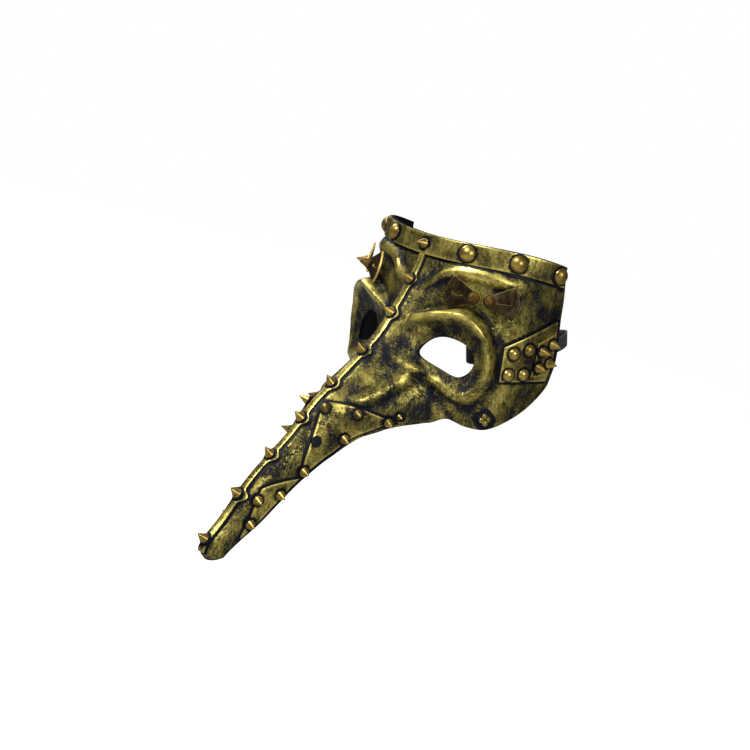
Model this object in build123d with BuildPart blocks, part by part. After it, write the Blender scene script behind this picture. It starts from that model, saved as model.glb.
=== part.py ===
from build123d import *
import os
from math import asin, atan2, cos, degrees, radians, sin, sqrt

# Plague doctor half mask: a moulded face with a long hollow nose, dressed with
# riveted bands, plates, cone studs, domes and four clock-gear sectors.
# Frame: the origin is on the mid-line at eye height, in the plane of the
# forehead's front. +Y runs towards the wearer's head, +X is the wearer's left.
# A place on the skin is an angle round the head (degrees, 0 in front, 90 at the
# left temple) and a height in millimetres.

# ---------------------------------------------------------------- driving sizes
HALF_WIDTH = 82.0          # mid-line to temple
FACE_DEPTH = 66.0          # forehead plane to the widest place
FACE_FLATNESS = 1.1        # 1.0 is a plain ellipse, more is a flatter front
TEMPLE_REACH_POWER = 6     # how late the temples start to reach back
SHELL_WALL = 2.2
BLEND = 6.0                # soft join of nose and face
NOSE_FLAT = 3.0            # rounding of the top of the nose
NOSE_GAUGE = 12.0          # distance from the mid-line where NOSE_DEPTH is given
NOSE_LIMIT = 58.0          # past this the nose has no say in the shape
NOSE_LIMIT_POWER = 8
NOSE_LIMIT_RISE = 20.0

# Heights run from the top down.
NOSE_LINE = [(90, 40), (76, 22), (62, 8), (49, -1.5), (28, -10.6), (0, -23), (-31, -46), (-55, -66),
             (-82, -82), (-115, -106), (-146, -122), (-162, -131.5), (-170, -132.5), (-176, -126)]
NOSE_DEPTH = [(84, 2), (49, 3), (28, 5), (0, 9), (-46, 8), (-60, 9), (-74, 11), (-89, 13),
              (-110, 17.8), (-130, 24.5), (-150, 32), (-176, 38)]
NOSE_POWER = [(84, 1.2), (49, 1.2), (0, 1.3), (-46, 1.75), (-66, 2.0), (-89, 2.5)]
TEMPLE_REACH = [(84, 0), (75, 3), (63, 7), (48, 10.5), (18, 19), (-1, 18), (-20, 16), (-46, 12)]

# The open edge of the mask, by the height of the row on the mid-line.
EDGE_ANGLE = [(82.3, 90), (56, 90), (30, 90), (18, 84.7), (8, 76.5), (-2, 64.2), (-8, 52.7),
              (-14, 41.7), (-21, 34.3), (-28, 28.6), (-40, 22.9), (-50, 19.2), (-62, 15.6), (-79, 12.6),
              (-99, 10.5), (-119, 8.8), (-139, 7.3), (-160, 5.8), (-168, 4.1), (-174.9, 2.4)]
EDGE_HEIGHT = [(82.3, 87.5), (56, 40), (30, -1), (18, -19.5), (8, -33), (-2, -44.3), (-8, -45.8),
               (-14, -44), (-21, -49.6), (-28, -53.3), (-40, -59.6), (-50, -66.2), (-62, -74.1),
               (-79, -89.4), (-99, -109.6), (-119, -129.7), (-139, -149.5), (-160, -169.6),
               (-168, -173.4), (-174.9, -174.7)]
TOP_EDGE = 82.3
TIP_EDGE = -174.9
LIFT_ENDS = 40.0           # below this height the rows no longer follow the band

# The ring that stands round each eye. Its places are arc lengths: distance round
# the head from the mid-line, and height. Its sizes are given by direction from the
# eye's middle: degrees, 0 towards the temple, 90 up, 180 towards the nose.
ARC = 1.36                 # millimetres round the head for each degree
EYE_MIDDLE = (44.0, 2.0)
RING_START = 156.0
RING_END = -150.0
RING_REACH = [(180, 36), (156, 34.2), (147, 33.8), (130, 30.6), (109, 29.7), (90, 30.5), (77, 30.1),
              (60, 29), (44, 28.3), (25, 28), (0, 29), (-21, 31.7), (-37, 32.8), (-55, 33),
              (-68, 28.6), (-90, 22.9), (-116, 22.3), (-132, 23.9), (-180, 36)]
RING_HEIGHT = [(180, 0.3), (156, 1), (147, 5), (130, 10), (109, 13), (90, 14), (60, 14), (44, 13),
               (25, 11.5), (0, 10), (-21, 7.5), (-37, 5.5), (-55, 4.5), (-90, 3.5), (-132, 2.5),
               (-160, 0.8), (-180, 0.3)]
RING_INSIDE = [(180, 12), (135, 17), (109, 19), (90, 19), (60, 15), (45, 12.5), (25, 10), (0, 9.5),
               (-21, 10), (-37, 12), (-68, 13), (-90, 10.5), (-132, 9), (-180, 12)]
RING_OUTSIDE = [(180, 5), (147, 5), (130, 5), (105, 5), (92, 6.5), (78, 9), (60, 9), (30, 9.5),
                (0, 9.5), (-37, 9), (-90, 7), (-180, 5)]
RING_SHARE = 0.92          # how much of each side is solid before it feathers out
RING_EDGE = 0.4            # thickness at the feathered edge

BAND_HEIGHT = 74.3         # middle of the forehead band on the mid-line
BAND_RISE = 5.5            # how much the band climbs towards the temples
BAND_SWING = 1.3
BAND_WIDTH = 15.0
BAND_ANGLE = 88.0
BAND_WALL = 2.0

GLUE = 0.1                 # glue line under every plate and band
RIDGE_WALL = 1.8
RIDGE_HALF = 2.4           # half width of the strip between its pads
RIDGE_PAD = 3.4            # extra half width at a pad
RIDGE_PAD_LENGTH = 5.0
PLATE_WALL = 1.4
TEMPLE_WALL = 1.6

CONE_RADIUS = 4.0
CONE_HEIGHT = 8.6
CONE_RIM = 1.0
NOSE_CONE_SCALE = 0.93
NOSE_LEAN = 9.0            # how far the nose studs lean towards the nose tip
SMALL_CONE_SCALE = 0.55
STUD_SEAT = 0.7            # how deep every stud sits in the piece under it
DOME_RIM = 0.5
BAND_DOME_RADIUS = 6.4
BAND_DOME_HEIGHT = 4.6
TEMPLE_DOME_RADIUS = 4.6
TEMPLE_DOME_HEIGHT = 3.4
FLOWER_DOME_RADIUS = 2.3
FLOWER_DOME_HEIGHT = 2.2
FLOWER_SPACING = 2.5
FLOWER_BASE = 1.0

GEAR_WALL = 1.5
GEAR_ROOT = 20.6           # pivot to the root of the teeth
GEAR_TOOTH = 1.5
GEAR_TEETH = 17
GEAR_ANGLE = 70.0
GEAR_BOSS = 5.0
GEAR_STANDOFF = 7.8        # bare skin to the back of a gear
GEAR_SLOT = 9.0
GEAR_SLOT_WIDTH = 1.9
GEAR_SLOT_PLACE = 12.5
PIVOT_RADIUS = 1.5
PIVOT_CLEARANCE = 0.08
PIVOT_END_PLAY = 0.15
PIVOT_HEAD = 4.2
SPACER_RADIUS = 3.0

STRAP_WIDTH = 11.0
STRAP_WALL = 1.3
STRAP_TILT = 25.2          # the strap's plane falls towards the eyes
STRAP_LEVEL = 0.2          # height of that plane at the strap's front bend
STRAP_FRONT = 27.0
RIVET_RADIUS = 2.4
RIVET_HEAD = 1.0
RIVET_HOLE = 1.2
RIVET_CLEARANCE = 0.1
RIVET_LENGTH = 3.0
RIVET_PLACE = 5.5          # strap end to the rivet


# ---------------------------------------------------------------- the skin
def smooth(points, height):
    """Value on the smooth curve through (height, value) points, listed from the top down."""
    if height >= points[0][0]:
        return points[0][1]
    if height <= points[-1][0]:
        return points[-1][1]
    last = len(points) - 1
    k = 0
    while height < points[k + 1][0]:
        k += 1

    def slope(i):
        above = points[max(i - 1, 0)]
        below = points[min(i + 1, last)]
        return (below[1] - above[1]) / (below[0] - above[0])

    span = points[k + 1][0] - points[k][0]
    t = (height - points[k][0]) / span
    start = points[k][1] * (1 + 2 * t) * (1 - t) ** 2 + slope(k) * span * t * (1 - t) ** 2
    end = points[k + 1][1] * t * t * (3 - 2 * t) - slope(k + 1) * span * t * t * (1 - t)
    return start + end


def skin(angle, height):
    """The outer surface of the bare mask."""
    turn = radians(angle)
    across = HALF_WIDTH * sin(turn)
    reach = smooth(TEMPLE_REACH, height) * (abs(angle) / 90) ** TEMPLE_REACH_POWER
    face = FACE_DEPTH * (1 - cos(turn)) ** FACE_FLATNESS + reach
    power = smooth(NOSE_POWER, height)
    fall = (across ** 2 + NOSE_FLAT ** 2) ** (power / 2) - NOSE_FLAT ** power
    gauge = (NOSE_GAUGE ** 2 + NOSE_FLAT ** 2) ** (power / 2) - NOSE_FLAT ** power
    nose = smooth(NOSE_LINE, height) + smooth(NOSE_DEPTH, height) * fall / gauge
    nose += NOSE_LIMIT_RISE * (abs(across) / NOSE_LIMIT) ** NOSE_LIMIT_POWER
    front = (nose + face - sqrt((nose - face) ** 2 + BLEND ** 2)) / 2
    return Vector(across, front, height)


def outward(angle, height):
    """The skin's normal, away from the face."""
    step = 0.05
    around = skin(angle + step, height) - skin(angle - step, height)
    upward = skin(angle, height + step) - skin(angle, height - step)
    return around.cross(upward).normalized()


def above_skin(angle, height, offset):
    return skin(angle, height) + outward(angle, height) * offset


def bump(share):
    """A rounded rise, 1 in the middle and 0 from a share of 1 outwards."""
    return max(1 - share ** 2, 0) ** 2


def band_middle(angle):
    return BAND_HEIGHT + BAND_RISE * sin(radians(BAND_SWING * angle)) ** 2


def on_row(side, row):
    """Angle and height at a share of the way from the mid-line, 0, to the left edge, 1."""
    angle = min(smooth(EDGE_ANGLE, row), 90) * side
    lift = max((row - LIFT_ENDS) / (TOP_EDGE - LIFT_ENDS), 0)
    swing = (sin(radians(BAND_SWING * angle)) / sin(radians(BAND_SWING * 90))) ** 2
    bow = side ** 2 * (1 - lift) + swing * lift * 0.86
    return angle, row + (smooth(EDGE_HEIGHT, row) - row) * bow


def whole_mask(u, v):
    """Places of the whole mask, u from -1 (right edge) to 1 and v from 0 (top) to 1 (nose tip)."""
    return on_row(0.62 * u + 0.38 * u ** 3, TOP_EDGE + (TIP_EDGE - TOP_EDGE) * v)


def sheet(where, low, high, across, down, crown=None):
    """A closed solid between two offsets of the skin, with where(u, v) giving its places.

    crown(u, v) is a further height of the outer face."""
    def surface(offset, rise=None):
        rows = []
        for i in range(across + 1):
            column = [where(2 * i / across - 1, j / down) for j in range(down + 1)]
            lifts = [0 if rise is None else rise(2 * i / across - 1, j / down) for j in range(down + 1)]
            rows.append([above_skin(*place, offset + lift) for place, lift in zip(column, lifts)])
        return Face.make_surface_from_array_of_points(rows)

    outside = surface(high, crown)
    inside = surface(low)
    walls = []
    for edge in outside.edges():
        partner = min(inside.edges(), key=lambda other: (other @ 0.5 - edge @ 0.5).length)
        walls.append(Face.make_surface_from_curves(edge, partner))
    return Solid(Shell([outside, inside] + walls))


def patch(corners, on_nose):
    """Places inside four corners: top inner, top outer, bottom inner, bottom outer."""
    def where(u, v):
        side = (u + 1) / 2
        pair = []
        for k in (0, 1):
            top = corners[0][k] * (1 - side) + corners[1][k] * side
            bottom = corners[2][k] * (1 - side) + corners[3][k] * side
            pair.append(top * (1 - v) + bottom * v)
        return on_row(*pair) if on_nose else tuple(pair)
    return where


def mirrored(places):
    return [(-place[0], *place[1:]) for place in places]


def seat(angle, height, offset, lean=0):
    """A plane on the skin that faces outwards, or leans down the mask by some degrees."""
    down = (skin(angle, height - 0.05) - skin(angle, height + 0.05)).normalized()
    normal = outward(angle, height) * cos(radians(lean)) + down * sin(radians(lean))
    return Plane(origin=above_skin(angle, height, offset), x_dir=Vector(0, 0, 1).cross(normal), z_dir=normal)


# ---------------------------------------------------------------- places
RIDGE_CONES = [18, -14, -41.5, -69, -98, -128]
RIDGE_TOP = 66.5
RIDGE_END = -169.0
BAND_CONE = (0, BAND_HEIGHT)
BROW_CONE = (0, 45.5)
TIP_CONE = (0, -161)
EYE_HOLE = [(23.4, -3), (27.5, 7.5), (41.7, 13.5), (56.5, 9.2), (60.2, -2), (54.5, -11.8), (40, -10.4)]

BAND_DOMES = [(27, 0), (55.7, 0), (83.5, 0)]
# Places on the nose: share of the way from the mid-line to the open edge, and row.
UPPER_PLATE = [(0.23, -53.5), (0.95, -38), (0.92, -95.5), (0.95, -96.5)]
LOWER_PLATE = [(0.61, -116), (0.95, -99.5), (0.93, -145), (0.95, -146.5)]
UPPER_CONES = [(0.335, -56.1), (0.72, -47), (0.93, -40), (0.905, -66), (0.92, -94.5)]
LOWER_CONES = [(0.92, -112.8), (0.69, -123), (0.88, -137)]
MISSING_CONE = (0.69, -76.4)
# Places on the face: angle and height.
CORNER_STUD = (23.6, -51.5)
TEMPLE_PLATE = [(60.8, 18), (87.5, 46), (63.3, -7.5), (87.5, 0.5)]
TEMPLE_BADGE = [(77.8, 27), (86.7, 37.5), (78.6, 0.6), (86.7, 6)]
TEMPLE_DOMES = [(66.6, 15.0), (74.2, 20.5), (67.0, -1.0), (74.8, 2.0)]
TEMPLE_CONES = [(80.2, 21.8), (85.0, 28.5), (85.0, 14.5), (80.4, 9.4)]
FLOWER = (61.9, -37.0)

# Each gear: pivot, then the place that the middle of its arc points at.
INNER_GEAR = ((37.9, 46.8), (21.4, 46.0))
OUTER_GEAR = ((45.6, 47.8), (62.6, 51.5))


# ---------------------------------------------------------------- shell
with BuildPart() as face_shell:
    add(sheet(whole_mask, -SHELL_WALL, 0, 72, 84))
    for side in (1, -1):
        with BuildSketch(Plane.XZ.offset(-40)):
            with BuildLine():
                Spline(*[(side * x, z) for x, z in EYE_HOLE], periodic=True)
            make_face()
        extrude(amount=80, mode=Mode.SUBTRACT)
face_shell.part.label = "face_shell"


# ---------------------------------------------------------------- rings, bands and plates
def band_place(u, v):
    angle = BAND_ANGLE * u
    return angle, band_middle(angle) + BAND_WIDTH * (0.5 - v)


def ridge_place(u, v):
    row = RIDGE_TOP + (RIDGE_END - RIDGE_TOP) * v
    half = RIDGE_HALF
    for cone in [BROW_CONE[1], TIP_CONE[1]] + RIDGE_CONES:
        half += RIDGE_PAD * max(1 - ((row - cone) / RIDGE_PAD_LENGTH) ** 2, 0) ** 2
    return degrees(asin(half * u / HALF_WIDTH)), row


def ring_place(side):
    def where(u, v):
        bearing = RING_START + (RING_END - RING_START) * v
        width = smooth(RING_OUTSIDE if u > 0 else RING_INSIDE, bearing) * RING_SHARE
        reach = smooth(RING_REACH, bearing) + width * u
        arc = EYE_MIDDLE[0] + reach * cos(radians(bearing))
        return side * arc / ARC, EYE_MIDDLE[1] + reach * sin(radians(bearing))
    return where


def ring_crown(u, v):
    bearing = RING_START + (RING_END - RING_START) * v
    return max(smooth(RING_HEIGHT, bearing) * bump(u * RING_SHARE), RING_EDGE) - RING_EDGE


rings = []
for name, turn in (("left", 1), ("right", -1)):
    with BuildPart() as ring:
        add(sheet(ring_place(turn), GLUE, GLUE + RING_EDGE, 16, 44, ring_crown))
    ring.part.label = f"eye_ring_{name}"
    rings.append(ring)

with BuildPart() as forehead_band:
    add(sheet(band_place, GLUE, BAND_WALL, 60, 6))
forehead_band.part.label = "forehead_band"

with BuildPart() as ridge_strip:
    add(sheet(ridge_place, GLUE, RIDGE_WALL, 8, 150))
ridge_strip.part.label = "ridge_strip"

plates = []
for name, corners, on_nose, wall in (("nose_plate_upper", UPPER_PLATE, True, PLATE_WALL),
                                     ("nose_plate_lower", LOWER_PLATE, True, PLATE_WALL),
                                     ("temple_plate", TEMPLE_PLATE, False, TEMPLE_WALL)):
    for side, places in (("left", corners), ("right", mirrored(corners))):
        with BuildPart() as plate:
            add(sheet(patch(places, on_nose), GLUE, wall, 14, 14))
        plate.part.label = f"{name}_{side}"
        plates.append(plate)

for side, places in (("left", TEMPLE_BADGE), ("right", mirrored(TEMPLE_BADGE))):
    with BuildPart() as plate:
        add(sheet(patch(places, False), TEMPLE_WALL + GLUE, 2 * TEMPLE_WALL, 8, 10))
    plate.part.label = f"temple_badge_{side}"
    plates.append(plate)


# ---------------------------------------------------------------- studs
with BuildPart() as cone:
    with BuildSketch(Plane.XZ):
        with BuildLine():
            Polyline((0, -STUD_SEAT), (CONE_RADIUS, -STUD_SEAT), (CONE_RADIUS, CONE_RIM),
                     (0.3, CONE_HEIGHT), (0, CONE_HEIGHT), close=True)
        make_face()
    revolve(axis=Axis.Z)


def dome_solid(radius, height):
    """A round cap on a short rim."""
    cap = height - DOME_RIM
    with BuildPart() as dome:
        with BuildSketch(Plane.XZ):
            with BuildLine():
                Polyline((0, height), (0, -STUD_SEAT), (radius, -STUD_SEAT), (radius, DOME_RIM))
                RadiusArc((radius, DOME_RIM), (0, height), -(radius ** 2 + cap ** 2) / (2 * cap))
            make_face()
        revolve(axis=Axis.Z)
    return dome.part


def group(name, solid, planes):
    """Equal studs, one on each plane, as separate solids of one node."""
    with BuildPart() as studs:
        with Locations(*[Location(plane) for plane in planes]):
            add(solid)
    studs.part.label = name
    return studs


studs = []
ridge_places = [BROW_CONE, TIP_CONE] + [(0, height) for height in RIDGE_CONES]
ridge_planes = [seat(*place, RIDGE_WALL) for place in ridge_places] + [seat(*BAND_CONE, BAND_WALL)]
studs.append(group("ridge_cones", cone.part, ridge_planes))

dome_planes = []
for angle, rise in BAND_DOMES:
    for side in (1, -1):
        dome_planes.append(seat(side * angle, band_middle(angle) + rise, BAND_WALL))
studs.append(group("band_domes", dome_solid(BAND_DOME_RADIUS, BAND_DOME_HEIGHT), dome_planes))

temple_dome = dome_solid(TEMPLE_DOME_RADIUS, TEMPLE_DOME_HEIGHT)
flower_dome = dome_solid(FLOWER_DOME_RADIUS, FLOWER_DOME_HEIGHT)
nose_cone = scale(cone.part, by=NOSE_CONE_SCALE, mode=Mode.PRIVATE)
small_cone = scale(cone.part, by=SMALL_CONE_SCALE, mode=Mode.PRIVATE)
for side, turn in (("left", 1), ("right", -1)):
    nose_places = UPPER_CONES + LOWER_CONES
    if side == "right":
        nose_places = nose_places + [MISSING_CONE]
    nose_planes = [seat(*on_row(turn * share, row), PLATE_WALL, NOSE_LEAN) for share, row in nose_places]
    studs.append(group(f"nose_cones_{side}", nose_cone, nose_planes))
    planes = [seat(turn * angle, height, TEMPLE_WALL) for angle, height in TEMPLE_DOMES]
    studs.append(group(f"temple_domes_{side}", temple_dome, planes))
    planes = [seat(turn * angle, height, 2 * TEMPLE_WALL) for angle, height in TEMPLE_CONES]
    studs.append(group(f"temple_cones_{side}", cone.part, planes))
    studs.append(group(f"corner_stud_{side}", small_cone, [seat(turn * CORNER_STUD[0], CORNER_STUD[1], 0)]))
    flower_plane = seat(turn * FLOWER[0], FLOWER[1], 0)
    with BuildPart() as flower:
        with BuildSketch(flower_plane.offset(-STUD_SEAT)):
            Rectangle(4 * FLOWER_SPACING, 4 * FLOWER_SPACING, rotation=45)
            fillet(vertices(), FLOWER_SPACING / 2)
        extrude(amount=STUD_SEAT + FLOWER_BASE)
        with Locations(Location(flower_plane.offset(FLOWER_BASE))):
            with PolarLocations(FLOWER_SPACING, 4, start_angle=20):
                add(flower_dome)
    flower.part.label = f"cheek_flower_{side}"
    studs.append(flower)


# ---------------------------------------------------------------- gears
def gear_plane(gear, turn):
    """Plane of a gear's back: origin on its pivot, x towards the middle of its arc."""
    (angle, height), (far_angle, far_height) = gear
    near = above_skin(turn * angle, height, GEAR_STANDOFF)
    far = above_skin(turn * far_angle, far_height, GEAR_STANDOFF)
    along = (far - near).normalized()
    normal = (outward(turn * angle, height) + outward(turn * far_angle, far_height)).normalized()
    normal = (normal - along * normal.dot(along)).normalized()
    return Plane(origin=near, x_dir=along, z_dir=normal)


gears = []
for side, turn in (("left", 1), ("right", -1)):
    pivot_planes = []
    for name, gear in (("inner", INNER_GEAR), ("outer", OUTER_GEAR)):
        plane = gear_plane(gear, turn)
        pivot_planes.append(plane)
        rim = GEAR_ANGLE / 2
        with BuildPart() as sector:
            with BuildSketch(plane):
                with BuildLine():
                    start = (GEAR_ROOT * cos(radians(rim)), -GEAR_ROOT * sin(radians(rim)))
                    end = (start[0], -start[1])
                    ThreePointArc(start, (GEAR_ROOT, 0), end)
                    Line(end, (-1, GEAR_BOSS * 0.7))
                    Line((-1, GEAR_BOSS * 0.7), (-1, -GEAR_BOSS * 0.7))
                    Line((-1, -GEAR_BOSS * 0.7), start)
                make_face()
                Circle(GEAR_BOSS)
                step = GEAR_ANGLE / GEAR_TEETH
                with PolarLocations(GEAR_ROOT, GEAR_TEETH, -rim + step / 2, GEAR_ANGLE - step, endpoint=True):
                    Polygon((-0.6, -0.85), (GEAR_TOOTH, -0.45), (GEAR_TOOTH, 0.45), (-0.6, 0.85), align=None)
                with Locations((GEAR_SLOT_PLACE, 0)):
                    SlotOverall(GEAR_SLOT, GEAR_SLOT_WIDTH, mode=Mode.SUBTRACT)
                Circle(PIVOT_RADIUS + PIVOT_CLEARANCE, mode=Mode.SUBTRACT)
            extrude(amount=GEAR_WALL)
        sector.part.label = f"gear_{name}_{side}"
        gears.append(sector)
        print(sector.part.label, "pivot", [round(v, 3) for v in plane.origin],
              "axis", [round(v, 4) for v in plane.z_dir])

    with BuildPart() as spacers:
        depth = GEAR_STANDOFF + STUD_SEAT - PIVOT_END_PLAY
        for plane in pivot_planes:
            with BuildSketch(plane.offset(-PIVOT_END_PLAY)):
                Circle(SPACER_RADIUS)
                Circle(PIVOT_RADIUS, mode=Mode.SUBTRACT)
            extrude(amount=-depth)
    spacers.part.label = f"pivot_spacers_{side}"

    head = GEAR_WALL + PIVOT_END_PLAY
    with BuildPart() as pivot_stud:
        with BuildSketch(Plane.XZ):
            with BuildLine():
                Polyline((0, -GEAR_STANDOFF - SHELL_WALL), (PIVOT_RADIUS, -GEAR_STANDOFF - SHELL_WALL),
                         (PIVOT_RADIUS, head), (PIVOT_HEAD, head), (PIVOT_HEAD, head + CONE_RIM),
                         (0.3, head + CONE_HEIGHT), (0, head + CONE_HEIGHT), close=True)
            make_face()
        revolve(axis=Axis.Z)
    pivots = group(f"pivot_studs_{side}", pivot_stud.part, pivot_planes)
    gears += [spacers, pivots]


# ---------------------------------------------------------------- strap
# The elastic lies on edge in one sloping plane. Its route, seen along that plane's
# normal, leaves the left temple's inner face, loops behind it, runs in to a bend
# behind the left eye and crosses to the right temple's inner face.
STRAP_ROUTE = [(76.2, 58), (77.5, 76), (78.2, 93), (73, 104), (65.5, 96), (63, 78), (60, 58), (51.5, 38),
               (42.5, 30.5), (34.5, 39), (30, 58), (17, 78), (-6, 90), (-32, 95), (-56, 93), (-72, 84), (-77.8, 70),
               (-76.0, 54)]
strap_plane = Plane(origin=(0, STRAP_FRONT, STRAP_LEVEL), x_dir=(1, 0, 0),
                    z_dir=(0, -sin(radians(STRAP_TILT)), cos(radians(STRAP_TILT))))


def route_point(x, y):
    return (x, (y - STRAP_FRONT) / cos(radians(STRAP_TILT)))


flat_route = [route_point(x, y) for x, y in STRAP_ROUTE]
radii = []
for before, corner, after in zip(flat_route, flat_route[1:], flat_route[2:]):
    run_in = Vector(*corner) - Vector(*before)
    run_out = Vector(*after) - Vector(*corner)
    turn = radians(run_in.get_angle(run_out))
    radii.append(0.45 * min(run_in.length, run_out.length) / (sin(turn / 2) / cos(turn / 2)))
print("strap radii", [round(radius, 1) for radius in radii])

with BuildPart() as strap:
    with BuildSketch(strap_plane.offset(-STRAP_WIDTH / 2)):
        with BuildLine() as strap_line:
            FilletPolyline(*flat_route, radius=radii)
            offset(amount=STRAP_WALL / 2, side=Side.BOTH)
        make_face()
    extrude(amount=STRAP_WIDTH)
    rivet_planes = []
    for end, towards in ((flat_route[0], flat_route[1]), (flat_route[-1], flat_route[-2])):
        along = (Vector(*towards) - Vector(*end)).normalized()
        place = strap_plane.from_local_coords(Vector(*end) + along * RIVET_PLACE)
        along = strap_plane.from_local_coords(along) - strap_plane.origin
        inward = strap_plane.z_dir.cross(along)
        if inward.X * place.X > 0:
            inward = -inward
        rivet_planes.append(Plane(origin=place, z_dir=inward))
    with Locations(*[Location(plane) for plane in rivet_planes]):
        Cylinder(RIVET_HOLE + RIVET_CLEARANCE, 3 * STRAP_WALL, mode=Mode.SUBTRACT)
strap.part.label = "elastic_strap"

rivets = []
for side, plane in zip(("left", "right"), rivet_planes):
    with BuildPart() as rivet:
        with BuildSketch(plane.offset(STRAP_WALL / 2)):
            Circle(RIVET_RADIUS)
        extrude(amount=RIVET_HEAD)
        with BuildSketch(plane.offset(STRAP_WALL / 2)):
            Circle(RIVET_HOLE)
        extrude(amount=-RIVET_LENGTH)
    rivet.part.label = f"strap_rivet_{side}"
    rivets.append(rivet)

kept = [face_shell, forehead_band, ridge_strip, strap] + rings + plates + studs + gears + rivets
os.makedirs("parts", exist_ok=True)
for piece in kept:
    export_step(piece.part, f"parts/{piece.part.label}.step")
    print(piece.part.label, len(piece.part.solids()), round(piece.part.volume, 1))
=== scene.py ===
# %% [markdown]
# # Plague doctor half mask
# The real mask is cast from one shell of resin, painted black and then brushed with
# gold, and dressed with bands, plates, studs and clock-gear sectors. The CAD model is
# loaded first as a fixed frame. Everything here is modelled round it in metres.

# %% Load the frame
import math

import bmesh
import bpy
import numpy as np
from mathutils import Matrix, Vector
from mathutils.bvhtree import BVHTree
from mathutils.kdtree import KDTree


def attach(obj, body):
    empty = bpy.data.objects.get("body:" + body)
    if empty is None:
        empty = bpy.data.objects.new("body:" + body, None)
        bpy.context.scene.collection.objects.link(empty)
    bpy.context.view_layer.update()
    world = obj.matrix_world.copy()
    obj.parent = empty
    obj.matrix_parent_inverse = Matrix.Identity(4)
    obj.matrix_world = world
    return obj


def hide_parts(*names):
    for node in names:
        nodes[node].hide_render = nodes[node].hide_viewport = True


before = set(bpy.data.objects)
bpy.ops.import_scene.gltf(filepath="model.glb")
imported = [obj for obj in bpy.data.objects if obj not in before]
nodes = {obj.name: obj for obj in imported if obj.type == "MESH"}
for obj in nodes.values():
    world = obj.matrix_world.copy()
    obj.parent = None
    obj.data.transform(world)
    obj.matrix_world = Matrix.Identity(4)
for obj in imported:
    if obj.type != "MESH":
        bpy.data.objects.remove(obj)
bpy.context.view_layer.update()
MM = 0.001
print("frame", len(nodes), "nodes")

# %% [markdown]
# ## The skin
# Every piece of the mask follows one curved skin. A sculptor would draw the profile of
# the nose and the round of the face; here both are smooth curves through a few measured
# points, so a place is just an angle round the head and a height. The same skin places
# the shell, the bands, the plates and each stud, which keeps them all in contact.

# %% Skin curves
HALF_WIDTH = 82.0
FACE_DEPTH = 66.0
SHELL_WALL = 2.2
NOSE_LINE = [(90, 40), (76, 22), (62, 8), (49, -1.5), (28, -10.6), (0, -23), (-31, -46), (-55, -66),
             (-82, -82), (-115, -106), (-146, -122), (-162, -131.5), (-170, -132.5), (-176, -126)]
NOSE_DEPTH = [(84, 2), (49, 3), (28, 5), (0, 9), (-46, 8), (-60, 9), (-74, 11), (-89, 13),
              (-110, 17.8), (-130, 24.5), (-150, 32), (-176, 38)]
NOSE_POWER = [(84, 1.2), (49, 1.2), (0, 1.3), (-46, 1.75), (-66, 2.0), (-89, 2.5)]
TEMPLE_REACH = [(84, 0), (75, 3), (63, 7), (48, 10.5), (18, 19), (-1, 18), (-20, 16), (-46, 12)]
EDGE_ANGLE = [(82.3, 90), (56, 90), (30, 90), (18, 84.7), (8, 76.5), (-2, 64.2), (-8, 52.7),
              (-14, 41.7), (-21, 34.3), (-28, 28.6), (-40, 22.9), (-50, 19.2), (-62, 15.6), (-79, 12.6),
              (-99, 10.5), (-119, 8.8), (-139, 7.3), (-160, 5.8), (-168, 4.1), (-174.9, 2.4)]
EDGE_HEIGHT = [(82.3, 87.5), (56, 40), (30, -1), (18, -19.5), (8, -33), (-2, -44.3), (-8, -45.8),
               (-14, -44), (-21, -49.6), (-28, -53.3), (-40, -59.6), (-50, -66.2), (-62, -74.1),
               (-79, -89.4), (-99, -109.6), (-119, -129.7), (-139, -149.5), (-160, -169.6),
               (-168, -173.4), (-174.9, -174.7)]
TOP_EDGE = 82.3
TIP_EDGE = -174.9
BAND_HEIGHT = 74.3
BAND_WIDTH = 15.0
print("nose profile", len(NOSE_LINE), "points, open edge", len(EDGE_ANGLE), "points")


# %% Places on the skin
def smooth(points, where):
    """Smooth curve through (place, value) points listed from the top down."""
    places = np.array([p[0] for p in points], float)[::-1]
    values = np.array([p[1] for p in points], float)[::-1]
    slopes = np.empty(len(places))
    slopes[1:-1] = (values[2:] - values[:-2]) / (places[2:] - places[:-2])
    slopes[0] = (values[1] - values[0]) / (places[1] - places[0])
    slopes[-1] = (values[-1] - values[-2]) / (places[-1] - places[-2])
    where = np.clip(np.asarray(where, float), places[0], places[-1])
    k = np.clip(np.searchsorted(places, where, side="right") - 1, 0, len(places) - 2)
    span = places[k + 1] - places[k]
    t = (where - places[k]) / span
    start = values[k] * (1 + 2 * t) * (1 - t) ** 2 + slopes[k] * span * t * (1 - t) ** 2
    return start + values[k + 1] * t * t * (3 - 2 * t) - slopes[k + 1] * span * t * t * (1 - t)


def skin(angle, height):
    """Points on the bare skin, in millimetres."""
    angle, height = np.broadcast_arrays(np.asarray(angle, float), np.asarray(height, float))
    turn = np.radians(angle)
    across = HALF_WIDTH * np.sin(turn)
    face = FACE_DEPTH * (1 - np.cos(turn)) ** 1.1
    face = face + smooth(TEMPLE_REACH, height) * (np.abs(angle) / 90) ** 6
    power = smooth(NOSE_POWER, height)
    fall = (across ** 2 + 9) ** (power / 2) - 3 ** power
    gauge = (144 + 9) ** (power / 2) - 3 ** power
    nose = smooth(NOSE_LINE, height) + smooth(NOSE_DEPTH, height) * fall / gauge
    nose = nose + 20 * (np.abs(across) / 58) ** 8
    front = (nose + face - np.sqrt((nose - face) ** 2 + 36)) / 2
    return np.stack([across, front, height], axis=-1)


def outward(angle, height):
    around = skin(angle + 0.05, height) - skin(angle - 0.05, height)
    upward = skin(angle, height + 0.05) - skin(angle, height - 0.05)
    normal = np.cross(around, upward)
    return normal / np.linalg.norm(normal, axis=-1, keepdims=True)


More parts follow.
